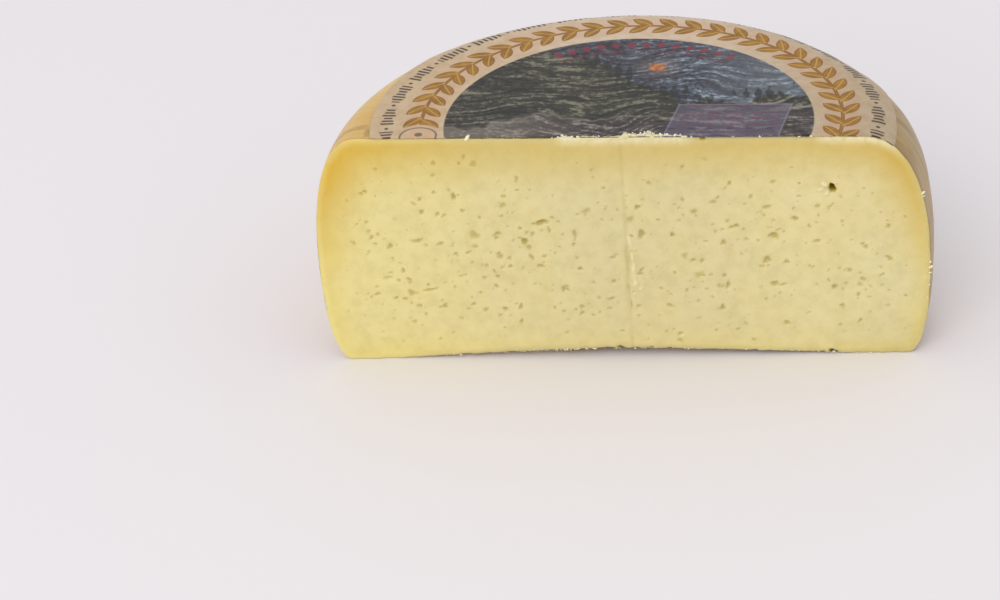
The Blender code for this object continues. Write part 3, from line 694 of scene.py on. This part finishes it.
def wheel_shift():
    """From the wheel's own centre to the frame: the pressed half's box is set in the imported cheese's box."""
    overlap = math.asin(CUT_OFFSET / WHEEL_RADIUS)
    angle = np.linspace(-overlap, math.pi + overlap, 4001)
    rim_x, rim_y = rim_radius(angle) * np.cos(angle), rim_radius(angle) * np.sin(angle)
    low, high = (np.array(corner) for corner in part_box("cheese"))
    return np.array([0.5 * (low[0] + high[0] - rim_x.min() - rim_x.max()), high[1] - rim_y.max(), 0.0])


SHIFT = wheel_shift()


def settle(thing):
    """Moves a finished mesh from the wheel's centre to its place in the frame."""
    count = len(thing.data.vertices)
    points = np.empty(count * 3)
    thing.data.vertices.foreach_get("co", points)
    thing.data.vertices.foreach_set("co", (points.reshape(-1, 3) + SHIFT).ravel())
    thing.data.update()


cheese = build_cheese([paste_material(), rind_material()])
settle(cheese)
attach(cheese, "root")
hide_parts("cheese")

# The label: coated paper, printed in colour and glued to the rind before the wheel was cut through both.
# It lies flat on the top and bends a little way over the rounded edge, where it puckers.

LABEL_RADIUS = 58.7 * MM
LABEL_X = 3.6 * MM
LABEL_Y = 5.3 * MM
PAPER_THICKNESS = 0.15 * MM
PAPER_GAP = 0.15 * MM
LABEL_COLUMNS = 260
LABEL_ROWS = 80
SLOPE_STEP = 0.2 * MM
PUCKERS = 29.0
PUCKER_HEIGHT = 0.12 * MM
CURL_HEIGHT = 0.08 * MM

# The print, in millimetres from the middle of the round label, and in degrees
VINE_RADIUS = 47.2
LEAF_PAIRS = 50.0
LEAF_TILT = 40.0
LEAF_HALF_SIZE = (3.25, 1.48)
TICK_RADIUS = 55.0
TICKS = 256.0
TICK_GROUPS = 30.0
SEAL_PLACE = (-47.0, -9.4)
PICTURE_PLACE = (-0.5, -1.4)
PICTURE_RADIUS = 41.4
GEM_RADIUS = 36.6
THREAD_RADIUS = 33.2
SUN_PLACE = (5.0, 24.5)
PANEL_X = 22.4
PANEL_HALF_WIDTH = 12.6
PANEL_BACK = 5.2


def label_loops():
    """Closed loops of the half label: each runs back over its upper side and forward under it.

    The sheet lies square to the slope of the cheese's top, a gap above it. On the rounded edge, clipped sines
    of the angle lift puckers, and its border curls up by the square of the way out.
    """
    drop = LABEL_Y + CUT_OFFSET
    half_chord = math.sqrt(LABEL_RADIUS**2 - drop**2)
    sweep = np.linspace(-0.5 * math.pi, 0.5 * math.pi, LABEL_COLUMNS + 1)[:, None]
    angle = 0.5 * math.pi - sweep * (1.0 + math.asin(drop / LABEL_RADIUS) / (0.5 * math.pi))
    part = np.linspace(0.0, 1.0, LABEL_ROWS + 1)[None, :]
    x = LABEL_X + (1.0 - part) * half_chord * np.sin(sweep) + part * LABEL_RADIUS * np.cos(angle)
    y = LABEL_Y - (1.0 - part) * drop + part * LABEL_RADIUS * np.sin(angle)
    z = pressed_top(x, y)
    slope_x = (pressed_top(x + SLOPE_STEP, y) - pressed_top(x - SLOPE_STEP, y)) / (2.0 * SLOPE_STEP)
    slope_y = (pressed_top(x, y + SLOPE_STEP) - pressed_top(x, y - SLOPE_STEP)) / (2.0 * SLOPE_STEP)
    normal = np.stack([-slope_x, -slope_y, np.ones_like(x)], axis=-1)
    normal /= np.linalg.norm(normal, axis=-1)[..., None]
    steep = 1.0 - normal[..., 2]
    radius, turn = np.hypot(x - LABEL_X, y - LABEL_Y), np.arctan2(y - LABEL_Y, x - LABEL_X)
    folds = np.clip(np.sin(PUCKERS * turn + 2.0 * np.sin(3.0 * turn)), 0.0, 1.0)
    pucker = folds * np.clip(steep * 2.5, 0.0, 1.0)
    curl = np.clip((radius - 0.94 * LABEL_RADIUS) / (0.06 * LABEL_RADIUS), 0.0, 1.0) ** 2
    uneven = 1.0 + soft_noise(50.0 * MM * turn, z, 6.0 * MM, 51)
    lift = PAPER_GAP + PUCKER_HEIGHT * pucker + CURL_HEIGHT * curl * uneven
    lift = lift + 0.03 * MM * (1.0 + soft_noise(x, y, 7.0 * MM, 52))
    under = np.stack([x, y, z], axis=-1) + normal * lift[..., None]
    over = under + normal * PAPER_THICKNESS
    return np.concatenate([over, under[:, ::-1]], axis=1)


def label_material():
    """Coated paper, half gloss: tan cream with painted shade at its ends, printed with a leafy vine, a ring of
    ticks and a landscape.
    """
    material, tree, shader = new_material("coated_paper")
    place = add_node(tree, "ShaderNodeTexCoord").outputs["Object"]
    centre = (-(SHIFT[0] + LABEL_X), -(SHIFT[1] + LABEL_Y), 0.0)
    offset = add_node(tree, "ShaderNodeVectorMath", {"operation": "ADD"}, {0: place, 1: centre}).outputs[0]
    links = {0: offset, "Scale": 1000.0}
    in_mm = add_node(tree, "ShaderNodeVectorMath", {"operation": "SCALE"}, links).outputs[0]
    axes = add_node(tree, "ShaderNodeSeparateXYZ", links={"Vector": in_mm})
    x, y = Reading(axes.outputs["X"]), Reading(axes.outputs["Y"])
    radius = (x * x + y * y).work("SQRT")
    turn = y.work("ARCTAN2", x) / (2.0 * math.pi)

    def noise(vector, scale, detail, distortion=0.0):
        """Noise from 0 to 1 with so many swells to the vector's unit."""
        links = {"Vector": vector, "Scale": scale, "Detail": detail, "Roughness": 0.6}
        links["Distortion"] = distortion
        return Reading(add_node(tree, "ShaderNodeTexNoise", links=links).outputs[0])

    def inked(depth, softness):
        """1 where a depth in millimetres is above 0, 0 outside, with that soft edge."""
        return depth.rise(-softness, softness)

    def blot(middle_x, middle_y, blot_radius):
        """Depth inside a round spot."""
        beside, over = x - middle_x, y - middle_y
        return blot_radius - (beside * beside + over * over).work("SQRT")

    def ring_step(count, ring_radius):
        """Distance in millimetres along a ring from the middle of the nearest of so many equal steps."""
        return ((turn * count + 40.0).work("FRACT") - 0.5) * (2.0 * math.pi * ring_radius / count)

    def on_ring(ring_radius, half_width):
        """Depth inside a ring of that middle radius and half width."""
        return half_width - abs(radius - ring_radius)

    def leaf(along, up, tilt, half_length, half_width):
        """Depth inside a leaf, which narrows by a power of the way to its tips, and the way across it."""
        lengthwise = along * math.cos(math.radians(tilt)) + up * math.sin(math.radians(tilt))
        across = up * math.cos(math.radians(tilt)) - along * math.sin(math.radians(tilt))
        narrowing = abs(lengthwise / half_length).work("POWER", 2.2) * half_width
        return half_width - narrowing - abs(across), abs(across)

    # Painted shade: the paper is darker toward its left end and more so toward its right, where it slopes away
    # from the light.
    paper = laid_over(tree, "#c9b18f", x.rise(-46.0, -14.0), "#d1bda3")
    paper = laid_over(tree, paper, x.rise(14.0, 50.0), "#b9a587")
    fibre = noise(in_mm, 0.35, 6.0)
    cloudy = shades(tree, fibre, ((0.30, "#efe8dd"), (0.62, "#ffffff")))
    colour = laid_over(tree, paper, 1.0, cloudy, "MULTIPLY")
    colour = laid_over(tree, colour, inked(on_ring(VINE_RADIUS, 3.4), 2.0) * 0.30, "#c9946a")

    along, up = ring_step(LEAF_PAIRS, VINE_RADIUS), radius - VINE_RADIUS
    outer, outer_across = leaf(along + 0.5, up - 1.9, LEAF_TILT, *LEAF_HALF_SIZE)
    inner, inner_across = leaf(along - 0.5, up + 1.9, -LEAF_TILT, *LEAF_HALF_SIZE)
    vine = on_ring(VINE_RADIUS, 0.42)
    shape = outer.most(inner).most(vine)
    clear = 1.0 - inked(blot(*SEAL_PLACE, 5.6), 0.3)
    colour = laid_over(tree, colour, inked(shape, 0.12) * clear, "#7d4f14")
    filled = inked(shape - 0.26, 0.12) * clear
    colour = laid_over(tree, colour, filled, shades(tree, fibre, ((0.35, "#8a5e0f"), (0.65, "#a87a18"))))
    vein = inked(0.16 - outer_across.least(inner_across), 0.1)
    colour = laid_over(tree, colour, filled * vein * inked(outer.most(inner) - 0.3, 0.1), "#bb954a")

    reach = (turn * 470.0).work("SINE") * 0.30 + 1.25
    knot, off = ring_step(TICK_GROUPS, TICK_RADIUS), abs(radius - TICK_RADIUS)
    tick = (0.38 - abs(ring_step(TICKS, TICK_RADIUS))).least(reach - off).least(abs(knot) - 1.5)
    colour = laid_over(tree, colour, inked(tick.most(0.6 - abs(knot) - off), 0.12) * 0.92, "#2f2722")
    seal = (0.22 - abs(blot(*SEAL_PLACE, 4.1))).most(blot(SEAL_PLACE[0], SEAL_PLACE[1] + 0.8, 0.9))
    colour = laid_over(tree, colour, inked(seal, 0.12) * 0.8, "#4a4234")

    links = {"Vector": in_mm, "Scale": 0.04, "Detail": 1.0}
    bend = add_node(tree, "ShaderNodeTexNoise", links=links).outputs["Color"]
    links = {0: bend, 1: (26.0, 26.0, 0.0), 2: in_mm}
    bent = add_node(tree, "ShaderNodeVectorMath", {"operation": "MULTIPLY_ADD"}, links).outputs[0]

    def strokes(turned, long, short):
        """Brush strokes: noise drawn out along one direction, which bends from place to place."""
        links = {"Vector": bent, "Rotation": (0.0, 0.0, turned), "Scale": (long, short, 1.0)}
        return noise(add_node(tree, "ShaderNodeMapping", links=links).outputs[0], 1.0, 5.0, 0.15)

    patch, speck = noise(in_mm, 0.07, 3.0), noise(in_mm, 0.9, 6.0)
    paint = strokes(0.35, 0.09, 0.55) * 0.55 + strokes(-0.6, 0.16, 0.65) * 0.45 + speck * 0.4 - 0.2
    sky = shades(tree, paint, ((0.38, "#1c1e26"), (0.46, "#323741"), (0.53, "#505a65"), (0.62, "#95a0aa")))
    sky = laid_over(tree, sky, x.rise(14.0, -6.0) * 0.55, "#30262c")
    sky = laid_over(tree, sky, x.rise(12.0, 30.0) * 0.22, "#9aa1a4")
    hill = shades(tree, paint, ((0.38, "#191a12"), (0.46, "#2a2a20"), (0.53, "#3f3e32"), (0.62, "#827f6a")))
    rock = shades(tree, paint, ((0.38, "#251f1c"), (0.46, "#3a3330"), (0.53, "#4d4541"), (0.62, "#918980")))
    rock = laid_over(tree, rock, x.rise(-10.0, -34.0) * 0.35, "#958c7d")
    far_hill = ((x + 6.0) * 0.085).work("SINE") * -7.0 + patch * 22.0 + 9.0 - y - x * 0.35
    near_hill = x * 0.10 + patch * 22.0 - y - 11.0
    picture = laid_over(tree, sky, inked(far_hill, 0.7), laid_over(tree, hill, 0.12, "#1c1d17"))
    fir = abs((x * 0.37).work("FRACT") - 0.5) * -11.0 + 4.2 - abs(far_hill + 1.2)
    picture = laid_over(tree, picture, inked(fir.least(patch * 40.0 - 19.0), 0.4) * 0.75, "#171b15")
    picture = laid_over(tree, picture, inked(near_hill, 1.8), rock)
    picture = laid_over(tree, picture, inked(0.5 - abs(near_hill - 0.4), 0.5) * 0.35, "#96917f")
    picture = laid_over(tree, picture, inked(blot(*SUN_PLACE, 4.2), 2.6) * 0.3, "#8a7460")
    sun = inked(blot(*SUN_PLACE, 1.9).least(far_hill * -1.0), 0.4)
    picture = laid_over(tree, picture, sun, shades(tree, speck, ((0.42, "#96552c"), (0.58, "#c27c48"))))
    gem = 1.25 - abs(ring_step(64.0, GEM_RADIUS)) - abs(radius - GEM_RADIUS) * 0.7
    thread = 0.55 - abs(ring_step(128.0, THREAD_RADIUS)) * 0.9 - abs(radius - THREAD_RADIUS)
    span = y * 0.75 - abs(x - 2.0)
    picture = laid_over(tree, picture, inked(gem.most(thread).least(span), 0.25) * 0.8, "#7c2737")

    slide = x - y * 0.2
    panel_x = PANEL_HALF_WIDTH - abs(slide - PANEL_X)
    panel_depth = panel_x.least(PANEL_BACK - y)
    panel = inked(panel_depth, 0.15)
    picture = laid_over(tree, picture, panel * 0.5, "#625d73")
    row = abs((y + 40.6).work("PINGPONG", 3.1) - 1.55)
    broken = (slide * 3.3).work("SINE") - (slide * 1.27).work("SINE") * 0.9 + 0.6
    rule = inked(0.30 - row, 0.14) * inked(broken, 0.2) * panel * inked(panel_x - 1.4, 0.2)
    picture = laid_over(tree, picture, rule * 0.65, "#6d2f44")
    picture = laid_over(tree, picture, inked(0.2 - abs(panel_depth), 0.15) * 0.3, "#a5a2b4")
    block = (0.75 - abs(slide.work("PINGPONG", 4.3) - 2.1)).least(0.5 - abs(y + 6.5))
    picture = laid_over(tree, picture, inked(block, 0.15) * panel * 0.7, "#3a3443")
    colour = laid_over(tree, colour, inked(blot(*PICTURE_PLACE, PICTURE_RADIUS), 0.15), picture)

    tree.links.new(colour.socket, shader.inputs["Base Color"])
    grain = noise(in_mm, 1.1, 4.0)
    bump = add_node(tree, "ShaderNodeBump", links={"Strength": 0.25, "Distance": 0.0001, "Height": grain})
    tree.links.new(bump.outputs[0], shader.inputs["Normal"])
    shader.inputs["Roughness"].default_value = 0.48
    shader.inputs["IOR"].default_value = 1.46
    shader.inputs["Specular IOR Level"].default_value = 0.35
    return material


label_rings = label_loops()
label_ends = label_rings[0].mean(axis=0), label_rings[-1].mean(axis=0)
label = skin_object("paper_label", label_rings[1:-1], *label_ends, [label_material()])[0]
settle(label)
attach(label, "root")
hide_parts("label")

# The crumbs: shreds and grains of fresh curd that the knife dragged out of the paste. They are damp, and
# stick where they came to rest, along the cut's upper and lower edges and at its two ends.

CRUMB_AROUND = 10
CRUMB_LOOPS = 7
CRUMB_SEED = 77
CRUMB_LIMIT = 62.0 * MM

# Runs of crumbs: edge, middle x, spread, how many, least and greatest half length, in millimetres
CRUMB_RUNS = (
    ("top", -32.3, 0.2, 1, 0.70, 0.75),
    ("top", -31.7, 0.2, 1, 0.40, 0.45),
    ("top", -10.3, 1.6, 9, 0.14, 0.34),
    ("top", -4.5, 2.0, 5, 0.12, 0.26),
    ("top", 7.4, 2.8, 26, 0.16, 0.40),
    ("top", 15.5, 2.2, 10, 0.14, 0.34),
    ("top", 35.0, 6.0, 6, 0.12, 0.28),
    ("top", 0.0, 36.0, 12, 0.08, 0.16),
    ("base", -14.0, 14.0, 52, 0.07, 0.26),
    ("base", 8.0, 8.0, 26, 0.07, 0.26),
    ("base", 46.0, 10.0, 26, 0.07, 0.26),
    ("base", 0.0, 32.0, 30, 0.06, 0.18),
)

# Single crumbs on the cut's right and left edges: x, height, half length, in millimetres
EDGE_CRUMBS = (
    (68.0, 42.2, 0.38),
    (68.1, 41.3, 0.28),
    (69.9, 24.4, 0.28),
    (70.0, 23.1, 0.40),
    (69.9, 21.6, 0.26),
    (69.8, 18.4, 0.22),
    (69.4, 15.0, 0.22),
    (-69.6, 15.5, 0.38),
    (-69.8, 17.4, 0.22),
)


def crumb_loops(centre, sizes, tilt, seed):
    """A lump: a ball's loops from pole to pole, stretched to its three sizes, tilted, with a rough radius."""
    rng = np.random.default_rng(seed)
    down = np.linspace(0.0, math.pi, CRUMB_LOOPS + 2)[1:-1, None]
    round_it = np.linspace(0.0, 2.0 * math.pi, CRUMB_AROUND, endpoint=False)[None, :]
    rough = 1.0 + rng.uniform(-0.28, 0.28, (CRUMB_LOOPS, CRUMB_AROUND))
    x = -np.cos(down) * np.ones_like(round_it) * (0.8 + 0.2 * rough)
    y = np.sin(down) * np.cos(round_it) * rough
    z = -np.sin(down) * np.sin(round_it) * rough
    shape = np.stack([x, y, z], axis=-1) * np.array(sizes)
    cosine, sine = math.cos(tilt), math.sin(tilt)
    turn = np.array([[cosine, 0.0, -sine], [0.0, 1.0, 0.0], [sine, 0.0, cosine]])
    ends = np.array([[-sizes[0], 0.0, 0.0], [sizes[0], 0.0, 0.0]]) @ turn.T + np.array(centre)
    return shape @ turn.T + np.array(centre), ends


def crumb_places():
    """Where the crumbs sit on the cut's outline: rows of x, y, height and half length, in metres."""
    rng = np.random.default_rng(CRUMB_SEED)
    rows = []
    for edge, middle, spread, count, least, most in CRUMB_RUNS:
        for x in MM * (middle + spread * rng.normal(size=count)):
            size = MM * rng.uniform(least, most)
            if abs(x) > CRUMB_LIMIT:
                continue
            if edge == "top":
                y = -CUT_OFFSET + rng.uniform(-0.2, 0.9) * size
                lip, _ = ragged_edge(np.array([x]), np.array([1.0]))
                z = pressed_top(x, y) + np.maximum(lip[0], PAPER_GAP) + 0.15 * size
                rows.append((x, y, float(z), size))
            else:
                low = float(press(x, -CUT_OFFSET, base_height(np.abs(x), 0.0))[2])
                y = -CUT_OFFSET + rng.uniform(-0.3, 0.2) * MM
                rows.append((x, y, low + rng.uniform(0.5, 1.6) * size, size))
    rows += [(x * MM, -CUT_OFFSET, z * MM, size * MM) for x, z, size in EDGE_CRUMBS]
    return rows


def build_crumbs(material):
    """All the crumbs as one mesh of closed lumps."""
    rng = np.random.default_rng(CRUMB_SEED + 1)
    vertices, faces, count = [], [], 0
    here = np.arange(CRUMB_LOOPS * CRUMB_AROUND).reshape(CRUMB_LOOPS, CRUMB_AROUND)
    turn = np.roll(here, -1, axis=1)
    pole = CRUMB_LOOPS * CRUMB_AROUND
    quads = np.stack([here[:-1], here[1:], turn[1:], turn[:-1]], axis=-1).reshape(-1, 4).tolist()
    caps = [(pole, a, b) for a, b in zip(here[0], turn[0])]
    caps += [(a, pole + 1, b) for a, b in zip(here[-1], turn[-1])]
    for number, (x, y, z, size) in enumerate(crumb_places()):
        sizes = size * rng.uniform((0.8, 0.4, 0.35), (1.8, 0.9, 0.8))
        centre, tilt = (x, y, max(z, sizes[0])), rng.uniform(-1.2, 1.2)
        shape, ends = crumb_loops(centre, sizes, tilt, CRUMB_SEED + 10 + number)
        vertices += [shape.reshape(-1, 3), ends]
        faces += [[index + count for index in face] for face in quads + caps]
        count += pole + 2
    mesh = bpy.data.meshes.new("crumbs")
    mesh.from_pydata(np.concatenate(vertices).tolist(), [], faces)
    mesh.shade_smooth()
    mesh.materials.append(material)
    thing = bpy.data.objects.new("crumbs", mesh)
    bpy.context.scene.collection.objects.link(thing)
    return thing


def crumb_material():
    """Fresh curd from inside: paler and rougher than the cut face."""
    material, tree, shader = new_material("torn_curd")
    place = add_node(tree, "ShaderNodeTexCoord").outputs["Object"]
    links = {"Vector": place, "Scale": 700.0, "Detail": 3.0}
    mottle = add_node(tree, "ShaderNodeTexNoise", links=links).outputs[0]
    colour = shades(tree, mottle, ((0.35, "#ece2b4"), (0.65, "#faf3d6")))
    tree.links.new(colour.socket, shader.inputs["Base Color"])
    shader.inputs["Roughness"].default_value = 0.6
    shader.inputs["Subsurface Weight"].default_value = 0.3
    shader.inputs["Subsurface Radius"].default_value = (1.0, 0.7, 0.3)
    shader.inputs["Subsurface Scale"].default_value = 0.001
    return material


crumbs = build_crumbs(crumb_material())
settle(crumbs)
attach(crumbs, "root")

# The stage: a plain pale floor, soft light from all round with one large lamp at the front left, and a
# camera that looks from where the photograph was taken.

FLOOR_HALF = 3.0
FLOOR_COLOUR = "#ebe8ea"
KEY_PLACE = (-0.6, -1.5, 1.25)
KEY_TARGET = (0.0, 0.0, 0.03)
KEY_SIZE = 1.3
KEY_POWER = 12.5
KEY_COLOUR = "#fffaf0"
WORLD_COLOUR = "#f6f5f9"
WORLD_STRENGTH = 0.90
CAMERA_LENS = 79.2
CAMERA_PLACE = (40.493 * MM, -435.192 * MM, 284.449 * MM)
CAMERA_RIGHT = (0.99078927, 0.10618311, -0.0840343)
CAMERA_UP = (0.01495741, 0.53096434, 0.84726215)
CAMERA_FORWARD = (-0.13458414, 0.84071519, -0.52448554)


def build_floor():
    """The ground: one flat square at height 0, pale and nearly matt."""
    mesh = bpy.data.meshes.new("floor")
    reach = FLOOR_HALF
    corners = [(-reach, -reach, 0.0), (reach, -reach, 0.0), (reach, reach, 0.0), (-reach, reach, 0.0)]
    mesh.from_pydata(corners, [], [(0, 1, 2, 3)])
    material, _, shader = new_material("pale_floor")
    shader.inputs["Base Color"].default_value = from_hex(FLOOR_COLOUR)
    shader.inputs["Roughness"].default_value = 0.7
    shader.inputs["Specular IOR Level"].default_value = 0.2
    mesh.materials.append(material)
    thing = bpy.data.objects.new("floor", mesh)
    bpy.context.scene.collection.objects.link(thing)
    return thing


def turned_to(thing, right, up, back, place):
    """Puts a camera or light at a place, with these three directions as its own axes."""
    rows = [[float(right[i]), float(up[i]), float(back[i]), float(place[i])] for i in range(3)]
    thing.matrix_world = mathutils.Matrix([*rows, [0.0, 0.0, 0.0, 1.0]])


def add_light(name, place, target, size, power, colour):
    """A square area light at a place, facing a target."""
    data = bpy.data.lights.new(name, "AREA")
    data.shape = "SQUARE"
    data.size = size
    data.energy = power
    data.color = from_hex(colour)[:3]
    thing = bpy.data.objects.new(name, data)
    bpy.context.scene.collection.objects.link(thing)
    thing.location = place
    away = np.array(place) - np.array(target)
    away = away / np.linalg.norm(away)
    side = np.cross([0.0, 0.0, 1.0], away)
    side = side / np.linalg.norm(side)
    over = np.cross(away, side)
    turned_to(thing, side, over, away, place)
    return thing


floor = build_floor()

camera_data = bpy.data.cameras.new("camera")
camera_data.lens = CAMERA_LENS
camera_data.sensor_width = 36.0
camera_data.clip_start = 0.01
camera = bpy.data.objects.new("camera", camera_data)
bpy.context.scene.collection.objects.link(camera)
turned_to(camera, CAMERA_RIGHT, CAMERA_UP, -np.array(CAMERA_FORWARD), SHIFT + np.array(CAMERA_PLACE))
bpy.context.scene.camera = camera

add_light("key", KEY_PLACE, KEY_TARGET, KEY_SIZE, KEY_POWER, KEY_COLOUR)
world = bpy.data.worlds.new("studio")
world.use_nodes = True
world.node_tree.nodes["Background"].inputs["Color"].default_value = from_hex(WORLD_COLOUR)
world.node_tree.nodes["Background"].inputs["Strength"].default_value = WORLD_STRENGTH
bpy.context.scene.world = world
bpy.context.scene.view_settings.view_transform = "Standard"
